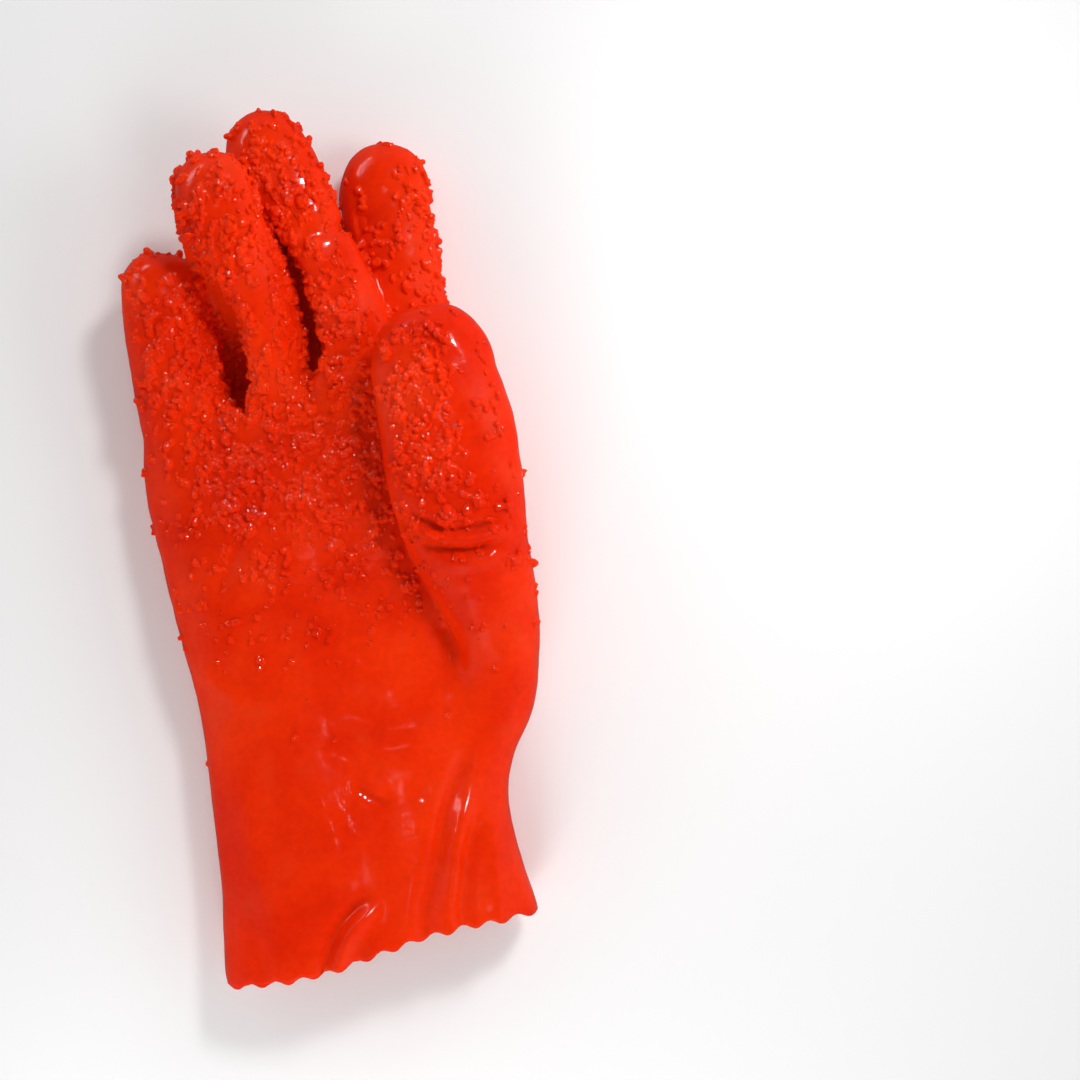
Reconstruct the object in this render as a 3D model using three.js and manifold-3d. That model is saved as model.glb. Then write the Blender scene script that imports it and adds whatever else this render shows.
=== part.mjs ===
// Non-slip work glove: a dip-moulded PVC gauntlet lying on its back, palm up.
// Millimetres, +Y towards the fingertips, +X towards the thumb side, +Z up from the surface it lies on.
// One hollow skin: the outer skins are joined, the inner skins are cut out, and the hem is cut wavy through both layers.
import * as THREE from 'three';
import { mergeVertices } from 'three/addons/utils/BufferGeometryUtils.js';
import Module from 'manifold-3d';

// ---------- driving dimensions ----------
const WALL = 1.4;                    // thickness of the PVC skin
const SHIFT_X = -7.4, SHIFT_Y = -53.6; // moves the bottom centre of the bounds to the origin
const PALM_STEPS = 28;               // steps across the palm side of the hand and cuff
const BACK_STEPS = [12, 8];          // steps across the back: outer skin, inner skin
const FINGER_AROUND = [16, 10], FINGER_ROWS = [8, 6];
const THUMB_AROUND = [20, 12], THUMB_ROWS = [11, 8];
const TOP_POWER = 2.45, BOTTOM_POWER = 2.7; // how square the palm side and the back are in section
const BACK_PRESS = 1.6;              // how far the back is pressed flat against the surface
const TIP_POWER = 2.35;              // how blunt the tips are
const HEM_PITCH = 9.3, HEM_WAVE = 0.9, HEM_STEPS = 5; // scallops of the hem
const COLOUR = 0xd8300f;

// Hand and cuff, one row for each section from hem to knuckles:
// y, left edge, right edge, underside, crest of the palm side
const BODY = [
  [-108, -55.2, 54.5,  0.0, 38.0],
  [ -92, -55.4, 54.0,  0.0, 38.0],
  [ -84, -56.0, 53.2,  0.0, 38.0],
  [ -74, -54.7, 51.8,  0.0, 37.5],
  [ -60, -52.9, 50.0,  0.0, 36.5],
  [ -46, -52.1, 48.5,  0.0, 35.5],
  [ -32, -51.7, 47.2,  0.0, 34.5],
  [ -19, -50.9, 46.8,  0.0, 34.0],
  [  -8, -50.6, 47.2,  0.0, 33.5],
  [   3, -50.7, 48.2,  0.0, 33.5],
  [  14, -51.5, 49.6,  0.0, 34.5],
  [  26, -53.2, 50.8,  0.0, 35.8],
  [  40, -54.3, 51.0,  0.0, 36.6],
  [  54, -55.3, 50.4,  0.0, 36.6],
  [  67, -56.9, 49.8,  0.0, 35.6],
  [  78, -57.0, 50.0,  0.0, 34.2],
  [  87, -55.8, 50.4,  0.0, 32.4],
  [  95, -53.4, 50.4,  0.8, 30.2],
  [ 101, -50.4, 49.2,  3.0, 27.4],
  [ 105, -46.0, 46.0,  6.2, 23.8],
  [ 107.4, -39.0, 40.0, 10.4, 19.4],
];
// Longest step between sections: fine in the cuff, where the folds are, wider in the palm
const STEP_CUFF = 5.6, STEP_HAND = 8.2;


// Tubes of the digits, a row for each section: x, y, z of the centre-line, half width, height over it, depth under it.
// The last row of each is the point of its tip.
const DIGITS = {
  index: [
    [ 35.0,  76, 14.2, 13.8, 13.4, 13.4],
    [ 36.8,  96, 13.4, 14.7, 12.8, 12.8],
    [ 39.0, 115, 12.2, 14.6, 11.7, 11.7],
    [ 39.6, 134, 11.6, 14.7, 11.2, 11.2],
    [ 39.0, 152, 11.4, 15.4, 10.9, 10.9],
    [ 39.0, 166, 11.6, 15.6, 10.8, 10.8],
    [ 43.4, 184.8, 12.4, 0, 0, 0],
  ],
  middle: [
    [ 15.6,  76, 15.2, 14.8, 14.2, 14.2],
    [ 17.6,  96, 17.4, 15.8, 13.2, 13.4],
    [ 18.8, 117, 22.6, 16.4, 11.8, 14.0],
    [ 16.4, 136, 26.2, 15.8, 11.0, 14.0],
    [ 10.2, 160, 27.0, 14.6, 10.4, 12.6],
    [  5.2, 179, 26.6, 14.7, 10.3, 11.4],
    [ -1.9, 199.6, 26.4, 0, 0, 0],
  ],
  ring: [
    [-13.6,  76, 15.2, 14.8, 14.2, 14.2],
    [-12.8,  92, 17.0, 15.8, 13.4, 13.4],
    [-12.0, 109, 21.6, 16.3, 12.4, 14.8],
    [-12.0, 131, 30.3, 16.2, 11.6, 18.6],
    [-13.6, 153, 39.0, 15.1, 10.9, 16.0],
    [-14.7, 169, 43.0, 13.2, 10.5, 11.6],
    [-15.2, 186.2, 44.2, 0, 0, 0],
  ],
  little: [
    [-39.4,  76, 15.0, 14.2, 13.4, 13.4],
    [-39.6,  89, 16.4, 15.2, 13.0, 13.0],
    [-39.9, 102, 18.8, 15.5, 12.2, 12.6],
    [-39.6, 118, 21.0, 15.5, 11.6, 12.6],
    [-40.1, 134, 23.4, 14.6, 11.1, 12.6],
    [-40.1, 145, 25.2, 13.3, 10.8, 12.0],
    [-38.9, 158.4, 26.4, 0, 0, 0],
  ],
};
const LEAN = { ring: 5.0 };          // how far the underside of a digit lies over to the little-finger side
const THUMB = [
  [ 37.0, -42, 14.0,  7.6,  9.0,  9.0],
  [ 44.2, -24, 15.4, 11.0, 11.0, 11.0],
  [ 49.8,  -9, 18.6, 14.4, 12.8, 13.0],
  [ 54.4,  10, 25.0, 14.8, 13.8, 14.4],
  [ 53.3,  28, 32.4, 17.0, 14.2, 14.6],
  [ 50.1,  46, 39.8, 20.5, 13.6, 13.6],
  [ 48.8,  66, 45.2, 22.7, 12.8, 13.0],
  [ 49.1,  84, 47.2, 22.9, 12.6, 12.6],
  [ 47.9,  99, 47.2, 21.2, 12.0, 12.0],
  [ 45.6, 124.6, 46.0, 0, 0, 0],
];

// The deep valleys beside the ring finger: x, y, half width, floor
const GAP_LITTLE = [
  [-18.2, 102.0, 3.0, 16],
  [-19.4, 105.5, 5.8, 12],
  [-19.8, 110.0, 7.2, 12],
  [-20.6, 120.0, 7.8, 16],
  [-21.2, 132.0, 8.2, 22],
  [-23.6, 141.0, 7.4, 27],
  [-27.0, 150.0, 6.2, 31],
  [-29.0, 157.0, 3.8, 35],
  [-30.5, 165.0, 0.6, 42],
];
const GAP_MIDDLE = [
  [ 3.8, 107.5, 1.0, 23],
  [ 6.6, 111.0, 2.3, 18],
  [ 8.6, 118.0, 3.4, 16],
  [ 8.1, 127.0, 3.4, 18],
  [ 7.1, 139.0, 3.2, 21],
  [ 5.2, 148.0, 2.7, 24],
  [ 1.8, 161.0, 1.4, 31],
  [-1.4, 174.0, 0.5, 37],
];

// Folds of the palm side, a row for each straight run: x, y to x, y, half width, height (minus sinks in)
const FOLDS = [
  [-18, -94, -14,  -80, 4.2,  2.5],  // ridge that starts at the hem
  [-14, -80,  -4,  -69, 4.4,  1.6],
  [ 40, -22,  30,  -42, 4.8, -2.0],  // long fold of the cuff
  [ 30, -42,  20,  -68, 4.6, -2.5],
  [ 20, -68,  15,  -94, 4.6, -2.3],
  [ 42, -44,  33,  -62, 4.2,  1.3],  // rib beside it
  [ 33, -62,  28,  -94, 4.4,  1.8],
  [-31, -14, -29,  -64, 6.5, -0.9],  // soft hollows of the cuff
  [-12, -24,  -7,  -62, 6.5,  0.9],
  [ -1, -28,   6,  -36, 4.2, -1.1],  // crescent dent
  [  6, -36,  12,  -39, 4.2, -1.0],
  [-47,  21, -43,   12, 4.6,  1.0],  // ridge of the wrist at the little-finger side
  [-43,  12, -36,    5, 4.6,  0.9],
  [  0,  -5,  14,  -14, 5.0, -0.7],  // wrist wrinkles
  [ 14, -14,  26,  -11, 5.0, -0.6],
  [-26,  56, -33,   46, 5.0, -1.1],  // palm groove
  [-33,  46, -38,   36, 5.0, -0.9],
];
// Cross folds of the thumb root, along its centre-line: y, half width, height
const THUMB_FOLDS = [
  [53.5, 2.6, -1.9],
  [48.0, 2.8,  1.9],
  [42.0, 2.8, -2.0],
  [36.0, 3.0,  0.9],
];

// ---------- helpers ----------
const sp = (v, p) => Math.sign(v) * Math.pow(Math.abs(v), p);
const mix = (a, b, t) => a + (b - a) * t;

// Smooth curve through table rows: every column is eased with a Catmull-Rom spline
function along(rows, u) {
  const n = rows.length - 1, s = Math.min(Math.max(u, 0), 1) * n;
  const i = Math.min(Math.floor(s), n - 1), t = s - i;
  const at = (k) => rows[Math.min(Math.max(k, 0), n)];
  return rows[0].map((_, c) => {
    const p0 = at(i - 1)[c], p1 = at(i)[c], p2 = at(i + 1)[c], p3 = at(i + 2)[c];
    return 0.5 * (2 * p1 + (p2 - p0) * t + (2 * p0 - 5 * p1 + 4 * p2 - p3) * t * t + (3 * p1 - p0 - 3 * p2 + p3) * t * t * t);
  });
}

// Skin from rings of equal length, closed at both ends by a point
function skin(rings, first, last) {
  const pos = [], idx = [], m = rings[0].length;
  rings.forEach((r) => r.forEach((p) => pos.push(p.x, p.y, p.z)));
  pos.push(first.x, first.y, first.z, last.x, last.y, last.z);
  const a = rings.length * m, b = a + 1;
  for (let i = 0; i + 1 < rings.length; i++)
    for (let j = 0; j < m; j++) {
      const p = i * m + j, q = i * m + (j + 1) % m, r = p + m, s = q + m;
      const at = (k) => rings[Math.floor(k / m)][k % m];
      if (at(q).distanceTo(at(r)) < at(p).distanceTo(at(s)) - 1e-6) idx.push(p, r, q, q, r, s);
      else idx.push(p, s, q, p, r, s);   // the shorter diagonal follows the folds
    }
  const e = (rings.length - 1) * m;
  for (let j = 0; j < m; j++) {
    const k = (j + 1) % m;
    idx.push(a, j, k, b, e + k, e + j);
  }
  const g = new THREE.BufferGeometry();
  g.setAttribute('position', new THREE.Float32BufferAttribute(pos, 3));
  g.setIndex(idx);
  return g;
}

function foldLift(x, y) {
  let h = 0;
  for (const [x0, y0, x1, y1, w, lift] of FOLDS) {
    const dx = x1 - x0, dy = y1 - y0;
    const t = Math.min(1, Math.max(0, ((x - x0) * dx + (y - y0) * dy) / (dx * dx + dy * dy)));
    const d = Math.hypot(x - x0 - t * dx, y - y0 - t * dy) / w;
    const v = lift * Math.exp(-d * d);
    if (Math.abs(v) > Math.abs(h) || h * v < 0) h = h * v < 0 ? h + v : v;
  }
  return h;
}

// Hand and cuff skin, inset by `inset` all round
function bodySkin(inset) {
  const rows = [], back = BACK_STEPS[inset > 0 ? 1 : 0];
  for (let i = 0; i + 1 < BODY.length; i++) {
    const gap = BODY[i + 1][0] - BODY[i][0], limit = BODY[i][0] < -10 ? STEP_CUFF : STEP_HAND;
    const parts = i === 0 ? 1 : Math.max(1, Math.round(gap / limit));
    for (let k = 0; k < parts; k++) rows.push(along(BODY, (i + k / parts) / (BODY.length - 1)));
  }
  rows.push(BODY[BODY.length - 1]);
  const rings = rows.map(([y, left, right, low, crest]) => {
    const near = Math.max(0, (y - 90) / 17.4);                  // 0 in the hand, 1 at the knuckles
    const cx = (left + right) / 2, a = (right - left) / 2 - inset;
    const lo = low + inset, hi = crest - inset, side = mix(low, crest, 0.44);
    const up = hi - side, down = side - lo + BACK_PRESS;
    const ring = [];
    for (let j = 0; j < PALM_STEPS; j++) {                      // evenly across the palm side, left edge last
      const t = (j / PALM_STEPS) * Math.PI, e = 1 - 0.5 * Math.sin(t) ** 2;
      const c = Math.sign(Math.cos(t)) * Math.pow(Math.abs(Math.cos(t)), 2 / TOP_POWER / (0.86 + 0.14 * e));
      const s = Math.pow(Math.max(0, 1 - Math.pow(Math.abs(c), TOP_POWER)), 1 / TOP_POWER);
      const x = cx + a * c, z = side + up * s;
      ring.push(new THREE.Vector3(x, y - inset * near, z + foldLift(x, y) * Math.min(1, 1.15 * s)));
    }
    for (let j = 0; j < back; j++) {
      const t = Math.PI * (1 + j / back), c = Math.cos(t), s = Math.sin(t);
      ring.push(new THREE.Vector3(cx + a * sp(c, 2 / BOTTOM_POWER), y - inset * near, Math.max(lo, side + down * sp(s, 2 / BOTTOM_POWER))));
    }
    return ring;
  });
  const mid = (k, dy) => new THREE.Vector3((BODY[k][1] + BODY[k][2]) / 2, rings[k ? rings.length - 1 : 0][0].y + dy, (BODY[k][3] + BODY[k][4]) / 2);
  return skin(rings, mid(0, 0), mid(BODY.length - 1, 0.8));
}

// A digit: sections square to the centre-line, then a blunt rounded tip
function tubeSkin(table, around, count, inset, lean, folds) {
  const body = table.slice(0, -1), tip = table[table.length - 1];
  const stations = [];
  for (let i = 0; i < count; i++) stations.push(along(body, i / (count - 1)));
  const last = body[body.length - 1];
  const end = new THREE.Vector3(tip[0], tip[1], tip[2]);
  const from = new THREE.Vector3(last[0], last[1], last[2]);
  const reach = end.distanceTo(from) - inset;
  const dir = end.clone().sub(from).normalize();
  for (const k of [0.42, 0.7, 0.88, 0.97]) {
    const f = Math.pow(1 - Math.pow(k, TIP_POWER), 1 / TIP_POWER);
    const p = from.clone().addScaledVector(dir, reach * k);
    stations.push([p.x, p.y, p.z, last[3] * f, last[4] * f, last[5] * f, f]);
  }
  const centre = stations.map((s) => new THREE.Vector3(s[0], s[1], s[2]));
  const rings = stations.map((s, i) => {
    const t = centre[Math.min(i + 1, centre.length - 1)].clone().sub(centre[Math.max(i - 1, 0)]).normalize();
    const side = new THREE.Vector3().crossVectors(t, new THREE.Vector3(0, 0, 1)).normalize();
    const up = new THREE.Vector3().crossVectors(side, t).normalize();
    const f = s.length > 6 ? s[6] : 1, ring = [];
    const a = s[3] - inset * f;
    for (let j = 0; j < around; j++) {
      const w = (j / around) * 2 * Math.PI;
      const lift = folds && Math.sin(w) > 0 ? Math.sin(w) * folds.reduce((h, [y, wd, k]) => h + k * Math.exp(-(((s[1] - y) / wd) ** 2)), 0) : 0;
      const v = sp(Math.sin(w), 2 / 2.2), b = (v > 0 ? s[4] : s[5]) - inset * f;
      ring.push(centre[i].clone().addScaledVector(side, a * sp(Math.cos(w), 2 / 2.2) + lean * Math.min(0, v) * f).addScaledVector(up, b * v + lift));
    }
    return ring;
  });
  return skin(rings, centre[0], from.clone().addScaledVector(dir, reach));
}

// Space of a valley between two fingers, open at the top and `grow` larger all round;
// its floor climbs by `climb` towards the thumb side
function gapSkin(table, climb, grow) {
  const rows = [], count = 9;
  for (let i = 0; i < count; i++) rows.push(along(table, i / (count - 1)));
  const [x0, y0, h0, f0] = rows[0], [x1, y1, h1, f1] = rows[count - 1];
  rows.unshift([x0, y0 - 0.75 * (h0 + grow), (h0 + grow) * 0.6 - grow, f0 + 1.5]);
  const rings = rows.map(([x, y, half, floor]) => {
    const h = half + grow, f = floor - grow, c = climb * h;
    return [[0.62, 2 + 0.6 * c], [0.88, 12 + c], [1.14, 24 + c], [1.14, 78 - f], [-1.14, 78 - f], [-1.14, 24 - c],
      [-0.88, 12 - c], [-0.62, 2 - 0.6 * c], [0, 0]]
      .map(([u, v]) => new THREE.Vector3(x + u * h, y, f + v));
  });
  return skin(rings, new THREE.Vector3(x0, y0 - h0 - grow, f0 + 12), new THREE.Vector3(x1, y1 + h1 + grow, f1 + 8));
}

// The line of the hem across the glove
const hemLine = (x) => {
  const t = Math.min(1, Math.max(0, (x + 36) / 66));
  return -92.4 + 9 * t * t * (3 - 2 * t) + HEM_WAVE * Math.cos((2 * Math.PI * (x + 56)) / HEM_PITCH);
};

// Block under the hem line: what is cut off both layers
function hemCutter() {
  const edge = [];
  const step = HEM_PITCH / HEM_STEPS;
  for (let x = -75; x <= 75; x += step) edge.push([x, hemLine(x)]);
  const shape = new THREE.Shape([new THREE.Vector2(-75, -130), new THREE.Vector2(edge[edge.length - 1][0], -130),
    ...edge.reverse().map(([x, y]) => new THREE.Vector2(x, y))]);
  const g = new THREE.ExtrudeGeometry(shape, { depth: 90, bevelEnabled: false });
  g.translate(0, 0, -20);
  return g;
}

const wasm = await Module();
wasm.setup();
function solid(geometry) {
  const g = geometry.clone();
  g.deleteAttribute('normal'); g.deleteAttribute('uv');
  const m = mergeVertices(g, 1e-4);
  const s = new wasm.Manifold(new wasm.Mesh({
    numProp: 3, vertProperties: new Float32Array(m.attributes.position.array), triVerts: new Uint32Array(m.index.array),
  }));
  if (s.volume() < 0) throw new Error('inside out');
  return s;
}
function geometryOf(s) {
  const m = s.getMesh();
  const g = new THREE.BufferGeometry();
  const n = m.numProp, p = new Float32Array((m.vertProperties.length / n) * 3);
  for (let i = 0; i < p.length / 3; i++) for (let k = 0; k < 3; k++) p[i * 3 + k] = m.vertProperties[i * n + k];
  g.setAttribute('position', new THREE.BufferAttribute(p, 3));
  g.setIndex(new THREE.BufferAttribute(new Uint32Array(m.triVerts), 1));
  return g;
}

function skins(inset) {
  const k = inset > 0 ? 1 : 0;
  const tube = (name) => solid(tubeSkin(DIGITS[name], FINGER_AROUND[k], FINGER_ROWS[k], inset, LEAN[name] || 0, null));
  let s = solid(bodySkin(inset));
  for (const name of ['index', 'middle', 'ring']) s = s.add(tube(name));
  s = s.subtract(solid(gapSkin(GAP_LITTLE, 0.45, inset))).subtract(solid(gapSkin(GAP_MIDDLE, -0.25, inset)));
  s = s.add(tube('little')).add(solid(tubeSkin(THUMB, THUMB_AROUND[k], THUMB_ROWS[k], inset, 0, THUMB_FOLDS)));
  // one space: slivers cut off by the valleys are dropped
  return s.decompose().reduce((a, b) => (b.volume() > a.volume() ? b : a));
}

const shell = skins(0).subtract(skins(WALL)).subtract(solid(hemCutter()));
const geometry = geometryOf(shell);
geometry.translate(SHIFT_X, SHIFT_Y, 0);
geometry.computeVertexNormals();

const glove = new THREE.Group();
glove.name = 'non_slip_glove';
const mesh = new THREE.Mesh(geometry, new THREE.MeshStandardMaterial({ color: COLOUR, roughness: 0.32, metalness: 0.0, side: THREE.DoubleSide }));
mesh.name = 'glove_shell';
glove.add(mesh);
export default glove;
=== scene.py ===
"""Looks of the non-slip glove: one dipped PVC glove lying on its back, palm up, with fused grit on its gripping side."""
import math

import bpy
import numpy as np
from mathutils import Matrix, Vector


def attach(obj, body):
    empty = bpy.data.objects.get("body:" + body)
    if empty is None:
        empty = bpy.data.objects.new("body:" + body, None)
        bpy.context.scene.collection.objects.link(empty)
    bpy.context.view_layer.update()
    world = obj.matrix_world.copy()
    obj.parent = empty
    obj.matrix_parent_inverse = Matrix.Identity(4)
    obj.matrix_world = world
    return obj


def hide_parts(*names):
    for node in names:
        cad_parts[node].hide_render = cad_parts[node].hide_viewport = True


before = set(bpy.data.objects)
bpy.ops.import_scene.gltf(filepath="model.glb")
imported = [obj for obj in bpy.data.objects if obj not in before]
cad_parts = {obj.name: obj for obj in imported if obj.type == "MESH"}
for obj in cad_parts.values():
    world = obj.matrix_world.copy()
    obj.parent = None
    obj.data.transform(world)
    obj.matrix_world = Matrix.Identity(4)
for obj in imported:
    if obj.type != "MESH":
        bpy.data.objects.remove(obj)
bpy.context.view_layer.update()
F32 = np.float32
rng = np.random.default_rng(20611)

# ---------------------------------------------------------------- sizes, in millimetres, glove frame (wrist at 0, 0)
SHIFT = np.array([-7.4, -53.6, 0.0])      # glove frame to row frame
WALL = 1.4
H = 1.25                                  # lattice of the skin
HG = 0.40                                 # lattice of the grit
GRIT_DENSITY = 0.170                      # seeds to a square millimetre at full density
TOP_POWER, BOTTOM_POWER, TIP_POWER, BACK_PRESS = 2.45, 2.7, 2.35, 1.6
HEM_PITCH, HEM_WAVE = 9.3, 0.95
Y_CUT = -88.0                             # plane of the open end before the hem is drawn to its line

# y, left edge, right edge, underside, crest of the palm side
BODY = np.array([
    [-108, -55.2, 54.5, 0.0, 38.0], [-92, -55.4, 54.0, 0.0, 38.0], [-84, -56.0, 53.2, 0.0, 38.0],
    [-74, -54.7, 51.8, 0.0, 37.5], [-60, -52.9, 50.0, 0.0, 36.5], [-46, -52.1, 48.5, 0.0, 35.5],
    [-32, -51.7, 47.2, 0.0, 34.5], [-19, -50.9, 46.8, 0.0, 34.0], [-8, -50.6, 47.2, 0.0, 33.5],
    [3, -50.7, 48.2, 0.0, 33.5], [14, -51.5, 49.6, 0.0, 34.5], [26, -53.2, 50.8, 0.0, 35.8],
    [40, -54.3, 51.0, 0.0, 36.6], [54, -55.3, 50.4, 0.0, 36.6], [67, -56.9, 49.8, 0.0, 35.6],
    [78, -57.0, 50.0, 0.0, 34.2], [87, -55.8, 50.4, 0.0, 32.4], [95, -53.4, 50.4, 0.8, 30.2],
    [101, -50.4, 49.2, 3.0, 27.4], [105, -46.0, 46.0, 6.2, 23.8], [107.4, -39.0, 40.0, 10.4, 19.4],
    [109.2, -26.0, 28.0, 13.4, 16.4],
], float)
# x, y, z, half width, height over the centre, depth under it; the last row is the point of the tip
LIMBS = {
    "little": [[-39.4, 76, 15.0, 14.2, 13.4, 13.4], [-39.6, 89, 16.4, 15.2, 13.0, 13.0], [-39.9, 102, 18.8, 15.5, 12.2, 12.6],
               [-39.6, 118, 21.0, 15.5, 11.6, 12.6], [-40.1, 134, 23.4, 14.6, 11.1, 12.6], [-40.1, 145, 25.2, 13.3, 10.8, 12.0],
               [-38.9, 158.4, 26.4, 0, 0, 0]],
    "ring": [[-13.6, 76, 15.2, 14.8, 14.2, 14.2], [-12.8, 92, 17.0, 15.8, 13.4, 13.4], [-12.0, 109, 21.6, 16.3, 12.4, 14.8],
             [-12.0, 131, 30.3, 16.2, 11.6, 18.6], [-13.6, 153, 39.0, 15.1, 10.9, 16.0], [-14.7, 169, 43.0, 13.2, 10.5, 11.6],
             [-15.2, 186.2, 44.2, 0, 0, 0]],
    "middle": [[15.6, 76, 15.2, 14.8, 14.2, 14.2], [17.6, 96, 17.4, 15.8, 13.2, 13.4], [18.8, 117, 22.6, 16.4, 11.8, 14.0],
               [16.4, 136, 26.2, 15.8, 11.0, 14.0], [10.2, 160, 27.0, 14.6, 10.4, 12.6], [5.2, 179, 26.6, 14.7, 10.3, 11.4],
               [-1.9, 199.6, 26.4, 0, 0, 0]],
    "index": [[35.0, 76, 14.2, 13.8, 13.4, 13.4], [36.8, 96, 13.4, 14.7, 12.8, 12.8], [39.0, 115, 12.2, 14.6, 11.7, 11.7],
              [39.6, 134, 11.6, 14.7, 11.2, 11.2], [39.0, 152, 11.4, 15.4, 10.9, 10.9], [39.0, 166, 11.6, 15.6, 10.8, 10.8],
              [43.4, 184.8, 12.4, 0, 0, 0]],
    "thumb": [[37.0, -42, 14.0, 7.6, 9.0, 9.0], [44.2, -24, 15.4, 11.0, 11.0, 11.0], [49.8, -9, 18.6, 14.4, 12.8, 13.0], [54.4, 10, 25.0, 14.8, 13.8, 14.4],
              [53.3, 28, 32.4, 17.0, 14.2, 14.6], [50.1, 46, 39.8, 20.5, 13.6, 13.6], [48.8, 66, 45.2, 22.7, 12.8, 13.0],
              [49.1, 84, 47.2, 22.9, 12.6, 12.6], [47.9, 99, 47.2, 21.2, 12.0, 12.0], [45.6, 124.6, 46.0, 0, 0, 0]],
}
LEAN = {"ring": 5.0}                       # how far the underside of a digit lies over to the little-finger side
# the deep gaps beside the ring finger: x, y, half width, floor; then how steeply the floor climbs towards the thumb side
GAPS = [
    ([[-30.5, 165, 0.6, 42], [-29.0, 157, 3.8, 35], [-27.0, 150, 6.2, 31], [-23.6, 141, 7.4, 27], [-21.2, 132, 8.2, 22], [-20.6, 120, 7.8, 16],
      [-19.8, 110, 7.2, 12], [-19.4, 105.5, 5.8, 12], [-18.2, 102, 3.0, 16]], 0.45),
    ([[-1.4, 174, 0.5, 37], [1.8, 161, 1.4, 31], [5.2, 148, 2.7, 24], [7.1, 139, 3.2, 21], [8.1, 127, 3.4, 18], [8.6, 118, 3.4, 16],
      [6.6, 111, 2.3, 18], [3.8, 107.5, 1.0, 23]], -0.25),
]


# ---------------------------------------------------------------- helpers
def spline(rows, n):
    """Catmull-Rom through the rows, n samples at even steps of the row number."""
    rows = np.asarray(rows, float)
    m = len(rows) - 1
    s = np.linspace(0, m, n)
    i = np.minimum(s.astype(int), m - 1)
    t = (s - i)[:, None]
    g = lambda k: rows[np.clip(k, 0, m)]
    p0, p1, p2, p3 = g(i - 1), g(i), g(i + 1), g(i + 2)
    return 0.5 * (2 * p1 + (p2 - p0) * t + (2 * p0 - 5 * p1 + 4 * p2 - p3) * t * t + (3 * p1 - p0 - 3 * p2 + p3) * t ** 3)


def smin(a, b, k):
    k = np.maximum(k, 1e-3)
    h = np.maximum(k - np.abs(a - b), 0) / k
    return np.minimum(a, b) - h * h * k * 0.25


def step(x, a, b):
    t = np.clip((x - a) / (b - a), 0, 1)
    return t * t * (3 - 2 * t)


def as_distance(f, h):
    gx, gy, gz = np.gradient(f, h)
    return f / np.maximum(np.sqrt(gx * gx + gy * gy + gz * gz), 0.012)


def hash3(ix, iy, iz, seed):
    h = (ix.astype(np.int64) * 73856093) ^ (iy.astype(np.int64) * 19349663) ^ (iz.astype(np.int64) * 83492791) ^ (seed * 2654435761)
    h = (h ^ (h >> 13)) * 1274126177
    h = h ^ (h >> 16)
    return ((h & 0xFFFFFF) / float(0xFFFFFF)) * 2 - 1


def noise(p, size, seed=1):
    """Smooth value noise, about -1 to 1."""
    q = p / size
    i = np.floor(q).astype(np.int64)
    f = q - i
    f = f * f * f * (f * (f * 6 - 15) + 10)
    out = 0
    for dx in (0, 1):
        for dy in (0, 1):
            for dz in (0, 1):
                w = (f[:, 0] if dx else 1 - f[:, 0]) * (f[:, 1] if dy else 1 - f[:, 1]) * (f[:, 2] if dz else 1 - f[:, 2])
                out = out + w * hash3(i[:, 0] + dx, i[:, 1] + dy, i[:, 2] + dz, seed)
    return out


def sample(field, org, h, p):
    """Trilinear value of a lattice field at points p."""
    q = (p - org) / h
    n = np.array(field.shape)
    q = np.clip(q, 0, n - 1.001)
    i = q.astype(int)
    f = (q - i).astype(F32)
    x, y, z = i[:, 0], i[:, 1], i[:, 2]
    fx, fy, fz = f[:, 0], f[:, 1], f[:, 2]
    c00 = field[x, y, z] * (1 - fx) + field[x + 1, y, z] * fx
    c10 = field[x, y + 1, z] * (1 - fx) + field[x + 1, y + 1, z] * fx
    c01 = field[x, y, z + 1] * (1 - fx) + field[x + 1, y, z + 1] * fx
    c11 = field[x, y + 1, z + 1] * (1 - fx) + field[x + 1, y + 1, z + 1] * fx
    return (c00 * (1 - fy) + c10 * fy) * (1 - fz) + (c01 * (1 - fy) + c11 * fy) * fz


# ---------------------------------------------------------------- the glove as one smooth field
ORG = np.array([-66.0, Y_CUT, -2.5])
NX, NY, NZ = int(144 / H), int(296 / H), int(70 / H)
xs = ORG[0] + H * np.arange(NX)
ys = ORG[1] + H * np.arange(NY)
zs = ORG[2] + H * np.arange(NZ)


def body_field():
    b = spline(BODY, 400)
    left, right, low, crest = (np.interp(ys, b[:, 0], b[:, k])[None, :, None] for k in (1, 2, 3, 4))
    cx, a = (left + right) / 2, (right - left) / 2
    side = low + 0.44 * (crest - low)
    u = np.abs(xs[:, None, None] - cx) / a
    dz = zs[None, None, :] - side
    top = (u ** TOP_POWER + (np.abs(dz) / (crest - side)) ** TOP_POWER) ** (1 / TOP_POWER)
    bot = (u ** BOTTOM_POWER + (np.abs(dz) / (side - low + BACK_PRESS)) ** BOTTOM_POWER) ** (1 / BOTTOM_POWER)
    f = np.where(dz >= 0, top, bot) - 1
    f = f + 0.5 * np.maximum(0, ys - 109.2)[None, :, None]
    return as_distance(f, H).astype(F32)


def limb_frames(rows):
    rows = np.asarray(rows, float)
    st = spline(rows[:-1], 72)
    c = st[:, :3]
    end = rows[-1, :3] - rows[-2, :3]
    t = np.gradient(c, axis=0)
    t[-1] = end / np.linalg.norm(end) * np.linalg.norm(t[-1])
    t /= np.linalg.norm(t, axis=1)[:, None]
    s = np.cross(t, [0, 0, 1.0]); s /= np.linalg.norm(s, axis=1)[:, None]
    u = np.cross(s, t)
    return c, t, s, u, st[:, 3], st[:, 4], st[:, 5], np.linalg.norm(end)


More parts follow.
